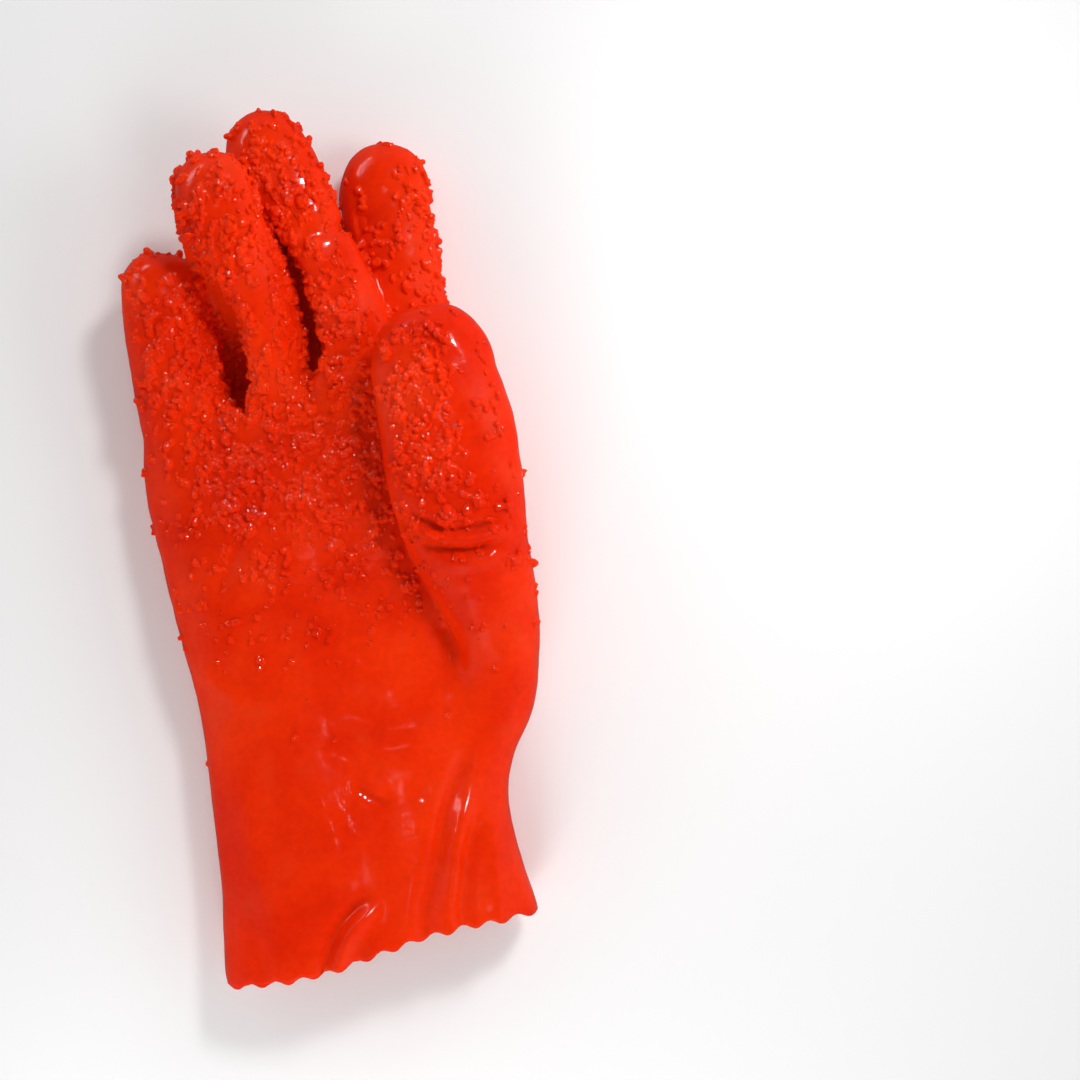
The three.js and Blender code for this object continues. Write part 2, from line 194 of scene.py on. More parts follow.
def limb_field(rows, lean=0.0):
    """(slices, distance) of one digit on its own part of the lattice."""
    c, t, s, u, a, b, under, reach = limb_frames(rows)
    tip = np.asarray(rows[-1][:3], float)
    lo = np.minimum(c.min(0), tip) - 30
    hi = np.maximum(c.max(0), tip) + 30
    i0 = np.maximum(((lo - ORG) / H).astype(int), 0)
    i1 = np.minimum(((hi - ORG) / H).astype(int) + 1, [NX, NY, NZ])
    gx, gy, gz = np.meshgrid(xs[i0[0]:i1[0]], ys[i0[1]:i1[1]], zs[i0[2]:i1[2]], indexing="ij")
    p = np.stack([gx.ravel(), gy.ravel(), gz.ravel()], 1)
    out = np.empty(len(p))
    ds = np.linalg.norm(np.diff(c, axis=0), axis=1).mean()
    cc = (c * c).sum(1)
    for k in range(0, len(p), 60000):
        q = p[k:k + 60000]
        i = (cc[None] - 2 * q @ c.T).argmin(1)
        w = ((q - c[i]) * t[i]).sum(1)
        pos = np.clip(i + w / ds, 0, len(c) - 1)
        j = np.minimum(pos.astype(int), len(c) - 2)
        f = (pos - j)[:, None]
        mixed = lambda v: v[j] * (1 - f) + v[j + 1] * f
        d = q - mixed(c)
        du, dv, dw = (d * mixed(s)).sum(1), (d * mixed(u)).sum(1), (d * mixed(t)).sum(1)
        aa = mixed(a[:, None])[:, 0]
        bb = np.where(dv > 0, mixed(b[:, None])[:, 0], mixed(under[:, None])[:, 0])
        du = du + lean * np.clip(-dv / bb, 0, 1.2)
        r = ((np.abs(du) / aa) ** 2.2 + (np.abs(dv) / bb) ** 2.2) ** (1 / 2.2)
        r_tip = (r ** TIP_POWER + (np.maximum(dw, 0) / reach) ** TIP_POWER) ** (1 / TIP_POWER)
        r_base = np.sqrt(r * r + (np.minimum(dw, 0) / 12.0) ** 2)
        out[k:k + 60000] = np.where(pos >= len(c) - 1.001, r_tip, np.where(pos <= 0.001, r_base, r)) - 1
    f = out.reshape(gx.shape)
    return tuple(slice(a0, a1) for a0, a1 in zip(i0, i1)), as_distance(f, H).astype(F32)


def gap_plan(gx, gy, rows, climb):
    """Distance from a gap's line in plan, its half width there, and its floor."""
    p = spline(rows, 60)
    best = np.full(gx.shape, 1e9); half = np.zeros(gx.shape); floor = np.zeros(gx.shape)
    for a, b in zip(p[:-1], p[1:]):
        d = b - a
        t = np.clip(((gx - a[0]) * d[0] + (gy - a[1]) * d[1]) / (d[:2] @ d[:2]), 0, 1)
        r = np.hypot(gx - a[0] - t * d[0], gy - a[1] - t * d[1])
        m = r < best
        best[m] = r[m]; half[m] = (a[2] + t * d[2])[m]
        floor[m] = (a[3] + t * d[3] + climb * np.clip(gx - a[0] - t * d[0], -9, 9))[m]
    return best, half, floor


def gap_field(rows, climb):
    """Distance into a narrow valley that runs along the rows; it is below 0 in the valley's space."""
    gx, gy = np.meshgrid(xs, ys, indexing="ij")
    best, half, floor = gap_plan(gx, gy, rows, climb)
    z = zs[None, None, :]
    rise = np.clip((z - floor[..., None]) / 18.0, 0, 1.3)
    side = best[..., None] - half[..., None] * (0.52 + 0.48 * rise)
    return -smin(-side, -(floor[..., None] - z), 5.0).astype(F32)


def build_field():
    body = body_field()
    fingers = np.full(body.shape, 60.0, F32)
    y = ys[None, :, None]
    web = (0.4 + 3.6 * (1 - step(y, 98, 113))).astype(F32)
    for name in ("index", "middle", "ring"):
        sl, d = limb_field(LIMBS[name], LEAN.get(name, 0.0))
        fingers[sl] = smin(fingers[sl], d, np.broadcast_to(web, body.shape)[sl])
    k = (1.0 + 6.0 * (1 - step(y, 99, 115))).astype(F32)
    d = smin(body, fingers, k)
    for rows, climb in GAPS:
        d = -smin(-d, gap_field(rows, climb), F32(2.2))
    sl, little = limb_field(LIMBS["little"])
    k = (0.7 + 6.3 * (1 - step(y, 88, 104))).astype(F32)
    d[sl] = smin(d[sl], little, np.broadcast_to(k, body.shape)[sl])
    sl, th = limb_field(LIMBS["thumb"])
    k = (0.6 + 8.4 * (1 - step(y, -8, 24))).astype(F32)
    d[sl] = smin(d[sl], th, np.broadcast_to(k, body.shape)[sl])
    low = (0.0 - zs)[None, None, :]
    h = np.maximum(1.6 - np.abs(d - low), 0) / 1.6        # pressed flat against the surface, with a soft edge
    return (np.maximum(d, low) + h * h * 0.4).astype(F32)


def surface_nets(f, org, h, iso=0.0):
    """Vertices, quads and each vertex's cell, for the surface where the field is iso; the field grows outwards."""
    s = f < iso
    v = s.view(np.uint8)
    c = v[:-1] + v[1:]
    c = c[:, :-1] + c[:, 1:]
    c = c[:, :, :-1] + c[:, :, 1:]
    cells = np.argwhere((c > 0) & (c < 8))
    index = np.full(c.shape, -1, np.int32)
    index[cells[:, 0], cells[:, 1], cells[:, 2]] = np.arange(len(cells))
    corner = np.array([[x, y, z] for x in (0, 1) for y in (0, 1) for z in (0, 1)])
    val = np.stack([f[cells[:, 0] + a, cells[:, 1] + b, cells[:, 2] + d] - iso for a, b, d in corner], 1)
    acc = np.zeros((len(cells), 3)); cnt = np.zeros(len(cells))
    for i in range(8):
        for j in range(i + 1, 8):
            if np.abs(corner[i] - corner[j]).sum() != 1:
                continue
            a, b = val[:, i], val[:, j]
            m = (a < 0) != (b < 0)
            t = np.where(m, a / np.where(m, a - b, 1), 0)
            acc += np.where(m[:, None], corner[i] + (corner[j] - corner[i]) * t[:, None], 0)
            cnt += m
    verts = org + h * (cells + acc / cnt[:, None])
    quads = []
    for ax in range(3):
        a, b = [k for k in range(3) if k != ax]
        lo = [slice(None)] * 3; hi = [slice(None)] * 3
        lo[ax] = slice(0, -1); hi[ax] = slice(1, None)
        x = s[tuple(lo)] != s[tuple(hi)]
        e = np.argwhere(x)
        ok = (e[:, a] > 0) & (e[:, b] > 0) & (e[:, a] < f.shape[a] - 1) & (e[:, b] < f.shape[b] - 1)
        e = e[ok]
        da = np.zeros(3, int); da[a] = 1
        db = np.zeros(3, int); db[b] = 1
        g = lambda o: index[o[:, 0], o[:, 1], o[:, 2]]
        q = np.stack([g(e - da - db), g(e - db), g(e), g(e - da)], 1)
        inside_low = s[e[:, 0], e[:, 1], e[:, 2]]
        flip = inside_low if ax != 1 else ~inside_low
        q = np.where(flip[:, None], q, q[:, ::-1])
        quads.append(q)
    return verts, np.concatenate(quads), cells


def settle(p, f, grad, org, h, iso=0.0, rounds=3):
    for _ in range(rounds):
        n = np.stack([sample(g, org, h, p) for g in grad], 1)
        m = np.linalg.norm(n, axis=1)
        d = sample(f, org, h, p) - iso
        p = p - n * (np.clip(d, -0.8, 0.8) / np.maximum(m, 0.2) ** 2)[:, None]
    return p


field = build_field()
grad = [g.astype(F32) for g in np.gradient(field, H)]


def base_normal(p):
    n = np.stack([sample(g, ORG, H, p) for g in grad], 1)
    return n / np.maximum(np.linalg.norm(n, axis=1), 1e-6)[:, None]


# ---------------------------------------------------------------- folds, dents and slackness of the skin
# each fold: points (x, y), half width, height (minus sinks in), and the side it is on
FOLDS = [
    ([(-17.5, -94), (-15.4, -86.5), (-10.4, -79.5), (-4.4, -75), (3.4, -70)], 2.5, 3.0, "palm"),
    ([(-22.5, -94), (-20, -85), (-14.6, -76.5), (-8, -71.4), (1, -66)], 2.2, -2.5, "palm"),
    ([(-10, -94), (-7, -84), (0, -77)], 3.4, -0.9, "palm"),
    ([(41, -20), (34.8, -32), (29.4, -42), (24.1, -56), (19.8, -68), (16.3, -78), (14.5, -94)], 2.9, -2.9, "palm"),
    ([(39, -36), (33.6, -47), (29.2, -58), (26.6, -69), (24.0, -80), (23.0, -94)], 2.6, 2.2, "palm"),
    ([(40, -44), (36, -54), (32.4, -64), (30, -76), (29.4, -94)], 2.6, -2.3, "palm"),
    ([(44, -40), (42, -60), (40, -94)], 3.4, 1.7, "palm"),
    ([(-31, -14), (-31.5, -40), (-28, -64)], 6.0, -0.8, "palm"),
    ([(-15, -22), (-11.6, -42), (-7, -64)], 5.0, 0.8, "palm"),
    ([(-4, -44), (2, -64), (4, -84)], 6.0, -0.6, "palm"),
    ([(-1, -28.5), (2, -32.5), (6, -36), (12, -39)], 1.5, -1.3, "palm"),
    ([(1, -26.0), (5, -31), (11, -35)], 2.0, 0.9, "palm"),
    ([(20.5, -33.5), (22.6, -39.7)], 1.6, -0.6, "palm"),
    ([(-48, 22), (-44, 12.5), (-38, 6), (-30, 2)], 3.2, 0.9, "palm"),
    ([(-50, 14), (-45, 5), (-38, -1)], 3.4, -0.8, "palm"),
    ([(-2, -3), (8, -11), (18, -14.5), (27, -12)], 4.2, -0.6, "palm"),
    ([(-4, -9), (6, -17), (17, -20), (28, -19)], 4.0, 0.5, "palm"),
    ([(-12, -15), (0, -22), (12, -27)], 4.0, -0.5, "palm"),
    ([(-22, 62), (-27, 56), (-33, 46), (-38, 36)], 2.8, -1.0, "palm"),
    ([(-18, 58), (-23, 50), (-28, 40)], 3.2, 0.6, "palm"),
    ([(36, 26), (38, 8), (40, -8)], 4.2, -1.2, "palm"),
    ([(-40, -96), (-44, -60), (-47, -30)], 5.0, -0.7, "palm"),
    ([(3, 5), (6.5, 8.4), (9, 11)], 3.2, 0.55, "palm"),
    ([(-44, 92), (-30, 88), (-14, 88), (4, 90), (22, 92)], 4.5, -0.6, "palm"),
    # back of the glove
    ([(-30, 20), (-10, 26), (14, 24), (34, 14)], 4.0, 0.7, "edge"),
]
# nicks at the bends of the fingers: x, y of the middle, half widths along and across, depth, lowest z
NICKS = [(27.0, 157.5, 6.5, 2.8, 2.8, 20.0), (16.5, 155.5, 6.0, 2.4, 0.8, 26.0)]
# cross folds of the thumb root: points (x, y), half width, height
THUMB_FOLDS = [
    ([(30, 60), (34, 55.5), (40, 51), (47, 48.6), (55, 48.8), (63, 51)], 1.7, -2.2),
    ([(30, 56), (36, 50.5), (42, 47), (50, 45.4), (58, 46), (66, 48)], 1.9, 2.1),
    ([(33, 49), (39, 44.4), (46, 42.2), (54, 41.6), (64, 43)], 1.7, -2.3),
    ([(36, 43), (44, 38.6), (54, 37.8), (64, 39)], 2.2, 1.0),
    ([(34, 66), (42, 61), (50, 59)], 2.6, -0.7),
]


def polyline_lift(x, y, pts, width, lift):
    pts = np.asarray(pts, float)
    if len(pts) > 2:
        pts = spline(pts, len(pts) * 5)
    seg = np.linalg.norm(np.diff(pts, axis=0), axis=1)
    run = np.concatenate([[0], np.cumsum(seg)])
    best = np.full(len(x), 1e9); at = np.zeros(len(x))
    near = (x > pts[:, 0].min() - 3 * width) & (x < pts[:, 0].max() + 3 * width) & (y > pts[:, 1].min() - 3 * width) & (y < pts[:, 1].max() + 3 * width)
    idx = np.nonzero(near)[0]
    if not len(idx):
        return idx, np.zeros(0)
    px, py = x[idx], y[idx]
    b, a = np.full(len(idx), 1e9), np.zeros(len(idx))
    for k in range(len(pts) - 1):
        d = pts[k + 1] - pts[k]
        t = np.clip(((px - pts[k, 0]) * d[0] + (py - pts[k, 1]) * d[1]) / (d @ d), 0, 1)
        q = np.hypot(px - pts[k, 0] - t * d[0], py - pts[k, 1] - t * d[1])
        m = q < b
        b[m] = q[m]; a[m] = (run[k] + t * seg[k])[m]
    total = run[-1]
    fade = step(a, 0, min(12, total * 0.3)) * (1 - step(a, total - min(12, total * 0.3), total))
    open_start = pts[0, 1] < -90
    open_end = pts[-1, 1] < -90
    if open_start:
        fade = 1 - step(a, total - min(12, total * 0.35), total)
    if open_end:
        fade = step(a, 0, min(14, total * 0.35))
    return idx, lift * fade * np.exp(-(b / width) ** 2)


def is_thumb(p):
    """1 on the thumb tube where it is clear of the palm."""
    c, t, s, u, a, b, under, reach = limb_frames(LIMBS["thumb"])
    cy = c[:, 1]
    zc = np.interp(p[:, 1], cy, c[:, 2]); xc = np.interp(p[:, 1], cy, c[:, 0])
    aa = np.interp(p[:, 1], cy, a); bb = np.interp(p[:, 1], cy, b)
    r = np.sqrt(((p[:, 0] - xc) / (aa + 2.2)) ** 2 + ((p[:, 2] - zc) / (bb + 2.2)) ** 2)
    return (r < 1) & (p[:, 1] > 18)


def lift_of(p, n):
    """How far the skin at p stands out along n."""
    x, y, z = p[:, 0], p[:, 1], p[:, 2]
    h = np.zeros(len(p))
    th = is_thumb(p)
    palm_w = np.clip((n[:, 2] - 0.05) / 0.5, 0, 1) * ~th
    edge_w = np.clip(1 - np.abs(n[:, 2]) * 1.5, 0, 1) * ~th
    for pts, w, k, side in FOLDS:
        i, v = polyline_lift(x, y, pts, w, k)
        h[i] += v * (palm_w if side == "palm" else edge_w)[i]
    tw = np.clip((n[:, 2] + 0.15) / 0.5, 0, 1) * th
    for pts, w, k in THUMB_FOLDS:
        i, v = polyline_lift(x, y, pts, w, k)
        h[i] += v * tw[i]
    for nx, ny, wx, wy, k, low in NICKS:
        h -= k * np.exp(-((x - nx) / wx) ** 2 - ((y - ny - 0.25 * (x - nx)) / wy) ** 2) * (z > low)
    flat = step(z, 0.3, 3.5)                                         # nothing moves where it rests
    slack = 0.62 * noise(p * [1, 0.6, 1], 26, 3) + 0.31 * noise(p * [1, 0.75, 1], 12, 5) + (0.10 * noise(p, 5.5, 7) + 0.05 * noise(p, 3.4, 9)) * (1 + 0.7 * step(p[:, 1], 0, 40))
    return (h + slack) * flat


def shape_out(p, n=None, inward=0.0):
    """Base position to final position: folds, slackness, and the hem drawn to its wavy line."""
    n = base_normal(p) if n is None else n
    q = p + n * lift_of(p, n)[:, None]
    t = np.clip((q[:, 0] + 36) / 66, 0, 1)
    line = -92.4 + 9 * t * t * (3 - 2 * t) + HEM_WAVE * np.cos(2 * np.pi * (q[:, 0] + 56) / HEM_PITCH)
    w = 1 - step(p[:, 1], Y_CUT, Y_CUT + 22)
    w2 = 1 - step(p[:, 1], Y_CUT, Y_CUT + 6)
    mean = -92.4 + 9 * t * t * (3 - 2 * t)
    q[:, 1] += w * (mean - Y_CUT) + w2 * (line - mean)
    q[:, 2] = np.maximum(q[:, 2], 0.0)
    return q


def to_row(p):
    return (p + SHIFT) * 0.001


def make_object(name, verts, faces, mat, smooth=True):
    me = bpy.data.meshes.new(name)
    faces = list(faces) if not isinstance(faces, np.ndarray) else faces
    if isinstance(faces, np.ndarray):
        k = faces.shape[1]
        me.vertices.add(len(verts)); me.vertices.foreach_set("co", verts.astype(F32).ravel())
        me.loops.add(faces.size); me.loops.foreach_set("vertex_index", faces.astype(np.int32).ravel())
        me.polygons.add(len(faces))
        me.polygons.foreach_set("loop_start", (np.arange(len(faces)) * k).astype(np.int32))
        me.polygons.foreach_set("loop_total", np.full(len(faces), k, np.int32))
        me.update(calc_edges=True)
    else:
        me.from_pydata([tuple(v) for v in verts], [], [tuple(f) for f in faces])
    me.polygons.foreach_set("use_smooth", np.full(len(me.polygons), smooth))
    me.update()
    ob = bpy.data.objects.new(name, me)
    bpy.context.scene.collection.objects.link(ob)
    me.materials.append(mat)
    return ob


def boundary_loop(quads, start_hint):
    """The open edge of a quad mesh as one ordered list of vertices."""
    e = np.concatenate([quads[:, [0, 1]], quads[:, [1, 2]], quads[:, [2, 3]], quads[:, [3, 0]]])
    key = np.sort(e, 1)
    _, inv, cnt = np.unique(key[:, 0].astype(np.int64) * 10_000_000 + key[:, 1], return_inverse=True, return_counts=True)
    b = e[cnt[inv] == 1]
    nxt = dict(zip(b[:, 0].tolist(), b[:, 1].tolist()))
    loops = []
    left = set(nxt)
    while left:
        s = min(left); loop = []; v = s
        while v in left:
            left.discard(v); loop.append(v); v = nxt[v]
        loops.append(loop)
    return max(loops, key=len)


def build_shell(mat):
    ov, oq, oc = surface_nets(field, ORG, H)
    ov = settle(ov, field, grad, ORG, H)
    ov[oc[:, 1] == 0, 1] = Y_CUT
    fi = field[::2, ::2, ::2]
    iv, iq, ic = surface_nets(fi, ORG, 2 * H, iso=-WALL)
    iv = settle(iv, field, grad, ORG, H, iso=-WALL)
    iv[ic[:, 1] == 0, 1] = Y_CUT
    outer = shape_out(ov)
    inner = shape_out(iv)
    iq = iq[:, ::-1]
    lo, li = boundary_loop(oq, None), boundary_loop(iq, None)

    def ordered(loop, v):
        c = v[loop]
        ang = np.arctan2(c[:, 2] - 17, c[:, 0])
        area = np.sum(c[:, 0] * np.roll(c[:, 2], -1) - np.roll(c[:, 0], -1) * c[:, 2])
        loop = np.array(loop)
        if area < 0:
            loop = loop[::-1]
        c = v[loop]
        k = np.argmax(c[:, 0])
        loop = np.roll(loop, -k)
        c = v[loop]
        d = np.linalg.norm(np.roll(c, -1, 0) - c, axis=1)
        return loop, np.concatenate([[0], np.cumsum(d)]) / d.sum()
    lo, so = ordered(lo, ov)
    li, si = ordered(li, iv)
    off = len(outer)
    rim = []
    i = j = 0
    no, ni = len(lo), len(li)
    while i < no or j < ni:
        if j >= ni or (i < no and so[i + 1] <= si[j + 1]):
            rim.append((lo[i % no], lo[(i + 1) % no], off + li[j % ni])); i += 1
        else:
            rim.append((lo[i % no], off + li[(j + 1) % ni], off + li[j % ni])); j += 1
    verts = np.concatenate([outer, inner])
    faces = [tuple(q) for q in oq.tolist()] + [tuple(q) for q in (iq + off).tolist()]
    # the rim faces the open end: -y
    a, b, c = rim[0]
    rim_faces = [tuple(int(k) for k in r) for r in rim]
    n = np.cross(verts[rim_faces[3][1]] - verts[rim_faces[3][0]], verts[rim_faces[3][2]] - verts[rim_faces[3][0]])
    if n[1] > 0:
        rim_faces = [r[::-1] for r in rim_faces]
    ob = make_object("pvc_shell", to_row(verts), faces + rim_faces, mat)
    me = ob.data
    k = len(faces)
    sm = np.ones(len(me.polygons), bool); sm[k:] = False
    me.polygons.foreach_set("use_smooth", sm)
    me.update()
    return ob, ov, oq, outer


# ---------------------------------------------------------------- grit
def region_weight(p, n):
    """(density 0 to 1, coarseness 0 to 1) of the crumbs on the skin at p."""
    x, y, z = p[:, 0], p[:, 1], p[:, 2]
    w = np.zeros(len(p)); coarse = np.zeros(len(p))
    th = is_thumb(p)
    up = n[:, 2]
    patch = 0.5 + 0.5 * noise(p, 13, 21)
    spots = step(noise(p, 6.5, 22), -0.62, -0.05)                    # bare spots between the clumps
    # hand: thick under the fingers, thinning towards the wrist and the outer edge
    hand = (y < 104) & ~th
    dens = 0.80 * step(y, 30, 80) + 0.19 * step(y, 5, 30) + 0.004
    dens = dens * (0.6 + 0.7 * patch) * (0.22 + 0.78 * step(x, -52 + 0.12 * (80 - y), -26))
    side = step(up, 0.0, 0.45) * step(x, -57, -48)
    w[hand] = (dens * side * (0.25 + 0.75 * spots))[hand]
    coarse[hand] = (0.22 + 0.42 * step(y, 82, 100) + 0.10 * (1 - step(y, 10, 42)))[hand]
    # fingers: palm side and flanks
    fing = (y >= 104) & ~th
    idx = fing & (x > 24.5) & (z < 25)
    roll = np.where(idx, math.radians(52), math.radians(4))
    facing = n[:, 2] * np.cos(roll) + n[:, 0] * np.sin(roll)
    wf = step(facing, -0.30, 0.15)
    lit = fing & (x < np.interp(y, [100, 130, 150, 165], [-19, -19.5, -25, -30])) & (z < 38)
    wf = np.where(lit, wf * (0.05 + 0.95 * step(x, -54, -46)) * (1 - 0.72 * step(y, 143, 151)), wf)
    ring = fing & ~lit & (z > 30) & (x < np.interp(y, [107, 127, 148, 172, 200], [4, 8, 5, -1, -8]))
    bare = np.exp(-((x - np.interp(y, [105, 130, 160], [-3, -5, -7])) / 4.2) ** 2) * step(y, 112, 122) * (1 - step(y, 158, 168))
    wf = np.where(ring, wf * (1 - 0.62 * bare) * (1 - 0.60 * step(y, 168, 178)), wf)
    mid = fing & ~lit & ~ring & ~idx
    smooth_side = step(x - np.interp(y, [104, 117, 136, 160, 200], [29, 28, 25, 18, 14]), -2, 4) * step(y, 108, 118) * (1 - step(y, 158, 172))
    wf = np.where(mid, wf * (1 - 0.92 * smooth_side), wf)
    wf = np.where(mid, wf * (1 - 0.5 * step(y, 188, 196)) * (1 - 0.8 * step(y, 176, 184) * (1 - step(x, -8, -2))), wf)
    wf = np.where(mid | ring, wf * (0.45 + 0.55 * step(z, 15, 28)), wf)
    for rows, climb in GAPS:
        r, half, floor = gap_plan(x, y, rows, climb)
        wf = np.where(mid | ring, wf * (1 - 0.72 * (1 - step(r - half, -2.5, 0.0)) * (1 - step(z - floor, 7, 14))), wf)
    idx_tip = idx & (y > 156) & (facing < 0.72)
    wf = np.where(idx_tip, wf * 0.06, np.where(idx, 0.62 * wf * step(facing, 0.05, 0.45), wf))
    w[fing] = (wf * (0.72 + 0.36 * patch) * (0.45 + 0.55 * spots))[fing]
    coarse[fing] = 1.0
    coarse[lit] = 0.7
    # thumb: pad, bare towards its outer edge, its rim and its root
    wt = step(up, 0.30, 0.85) * (0.16 + 0.84 * (1 - step(x, 48, 57))) * step(y, 42, 60)
    wt = wt * (0.25 + 0.75 * step(x, 28, 34 + 0.16 * np.maximum(0, 90 - y)))
    wt = np.maximum(wt, 0.08 * step(up, 0.0, 0.4) * step(y, 22, 40))
    wt = wt * (0.6 + 0.6 * patch) * (1 - 0.93 * step(y, 113, 118)) * (0.35 + 0.65 * spots)
    w[th] = wt[th]
    coarse[th] = 0.42
    return np.clip(w, 0, 1.1), coarse


# crumbs that stand alone, on the outline and on the bare skin: x, y, z near the skin, size
LONE = [(-56.0, 109.0, 16, 1.25), (-55.8, 126.2, 18, 1.05), (-56.0, 65.2, 16, 1.05), (-50.6, -15.6, 16, 0.95), (-49.5, 28.1, 20, 1.15),
        (-34.1, 24.4, 32, 1.0), (-50.5, 144.3, 20, 1.1), (-28.2, 171.0, 40, 1.2), (-23.1, 188.6, 42, 1.1), (21.8, 176.6, 24, 1.25),
        (-27.3, 23.3, 33, 0.8), (34.5, -12.0, 30, 0.8), (-11.5, 0.5, 34, 0.6), (60.5, 38.0, 40, 0.9), (62.5, 24.0, 33, 0.8), (14.0, 21.0, 35, 0.8), (-18.0, 12.0, 34, 0.7)]


def scatter(ov, oq):
    """Crumb seeds sprinkled on the base skin, with their size and how far they stand out."""
    tri = np.concatenate([oq[:, [0, 1, 2]], oq[:, [0, 2, 3]]])
    a, b, c = ov[tri[:, 0]], ov[tri[:, 1]], ov[tri[:, 2]]
    area = 0.5 * np.linalg.norm(np.cross(b - a, c - a), axis=1)
    mid = (a + b + c) / 3
    n = base_normal(mid)
    w, coarse = region_weight(mid, n)
    w = w * area * (2.1 - 1.1 * coarse)                            # finer crumbs lie closer
    cum = np.cumsum(w)
    count = int(cum[-1] * GRIT_DENSITY)
    pick = np.searchsorted(cum, rng.random(count) * cum[-1])
    r = rng.random((count, 2)); flip = r.sum(1) > 1
    r[flip] = 1 - r[flip]
    p = a[pick] + (b - a)[pick] * r[:, :1] + (c - a)[pick] * r[:, 1:]
    co = coarse[pick]
    size = np.clip(rng.gamma(6.0, 0.167, count), 0.7, 1.6) * (0.86 + 0.08 * co)
    lone = np.array(LONE)
    near = np.array([((ov - q[:3]) ** 2).sum(1).argmin() for q in lone])
    return np.concatenate([p, ov[near]]), np.concatenate([size, lone[:, 3]]), np.concatenate([co, np.full(len(lone), 1.15)])


GORG = np.array([-62.0, -22.0, 1.0])
GN = (int(140 / HG), int(228 / HG), int(64 / HG))


def grit_field(points, size, co):
    q = [GORG[k] + HG * np.arange(GN[k]) for k in range(3)]
    lumps = np.full(GN, 9.0, F32)
    n = base_normal(points)
    for c, r, d, k in zip(points, size, n, co):
        lobes = int(rng.integers(1, 5 if c[1] > 36 else 3) + round(2.0 * k * rng.random()))
        t1 = np.cross(d, [0.3, 0.8, 0.52]); t1 /= np.linalg.norm(t1); t2 = np.cross(d, t1)
        tall = rng.random() < 0.07
        at = np.zeros(2); ang = rng.uniform(0, 2 * math.pi)
        for _ in range(lobes):
            rl = r * rng.uniform(0.56, 1.0)
            up = rl * (rng.uniform(-0.15, 0.50) + 0.15 * k + (0.4 if tall else 0.0))
            o = c + t1 * at[0] + t2 * at[1] + d * up
            ang += rng.uniform(-1.9, 1.9)
            at = at + np.array([math.cos(ang), math.sin(ang)]) * rl * rng.uniform(0.9, 1.5)
            rr = rl * rng.uniform(0.72, 1.28, 3)
            reach = rr.max() + 1.5
            lo = np.maximum(((o - reach - GORG) / HG).astype(int), 0)
            hi = np.minimum(((o + reach - GORG) / HG).astype(int) + 2, GN)
            if (hi <= lo).any():
                continue
            sl = tuple(slice(a, b) for a, b in zip(lo, hi))
            X = (q[0][sl[0]] - o[0])[:, None, None] / rr[0]
            Y = (q[1][sl[1]] - o[1])[None, :, None] / rr[1]
            Z = (q[2][sl[2]] - o[2])[None, None, :] / rr[2]
            m = np.sqrt(X * X + Y * Y + Z * Z)
            dist = ((m - 1) * rr.min()).astype(F32)
            lumps[sl] = smin(lumps[sl], dist, F32(0.15))
    f = np.full(GN, 9.0, F32)                                        # base skin on the fine lattice, near the lumps only
    for i in range(GN[0]):
        j, k = np.nonzero(lumps[i] < 1.1)
        if len(j):
            f[i, j, k] = sample(field, ORG, H, np.stack([np.full(len(j), q[0][i]), q[1][j], q[2][k]], 1))
    return smin(f + F32(0.02), lumps, F32(0.60))


def build_grit(ov, oq, mat):
    pts, size, co = scatter(ov, oq)
    f = grit_field(pts, size, co)
    gv, gq, gc = surface_nets(f, GORG, HG)
    height = sample(field, ORG, H, gv)
    keep = (height[gq].max(1) > 0.10)
    # nothing of the flat bottom or of the lattice's own ends
    keep &= (gv[gq][:, :, 2].min(1) > 1.2) & (gv[gq][:, :, 1].min(1) > GORG[1] + 1)
    gq = gq[keep]
    used, inv = np.unique(gq, return_inverse=True)
    gq = inv.reshape(gq.shape)
    gv = gv[used]; height = height[used]
    n = base_normal(gv)
    gv = gv + n * (np.clip(height, 0, 0.6) / 0.6 * (0.12 * noise(gv, 1.3, 31) + 0.08 * noise(gv, 0.7, 32)))[:, None]
    low = height < 0.10
    gv = np.where(low[:, None], gv - n * (height + 0.16)[:, None], gv)
    foot = gv - n * np.clip(height, 0, 4)[:, None]
    out = gv + n * lift_of(foot, n)[:, None]
    fc = gv[gq].mean(1)
    th = is_thumb(fc)
    x, y = fc[:, 0], fc[:, 1]
    part = np.where(y < 78, 0, 1)
    part = np.where((y >= 100) & (x < np.interp(y, [100, 130, 150, 165], [-19, -19.5, -25, -30])), 2, part)
    part = np.where((y >= 100) & (part != 2), 3, part)
    part = np.where((part == 3) & (x > np.interp(y, [100, 118, 127, 139, 148, 160, 172, 200], [4, 8.6, 8, 6.9, 5, 1.8, -1, -8])), 4, part)
    part = np.where((part == 4) & (x > np.interp(y, [104, 117, 136, 160, 200], [30, 33, 30, 25, 24])), 5, part)
    part = np.where(th, 6, part)
    names = {0: "grit_palm", 1: "grit_knuckles", 2: "grit_little", 3: "grit_ring", 4: "grit_middle", 5: "grit_index", 6: "grit_thumb"}
    obs = []
    for k, name in names.items():
        g = gq[part == k]
        used, inv = np.unique(g, return_inverse=True)
        ob = make_object(name, to_row(out[used]), inv.reshape(g.shape), mat)
        obs.append(ob)
        print("GRIT", name, len(g) * 2, "triangles")
    print("GRIT crumbs", len(pts))
    return obs


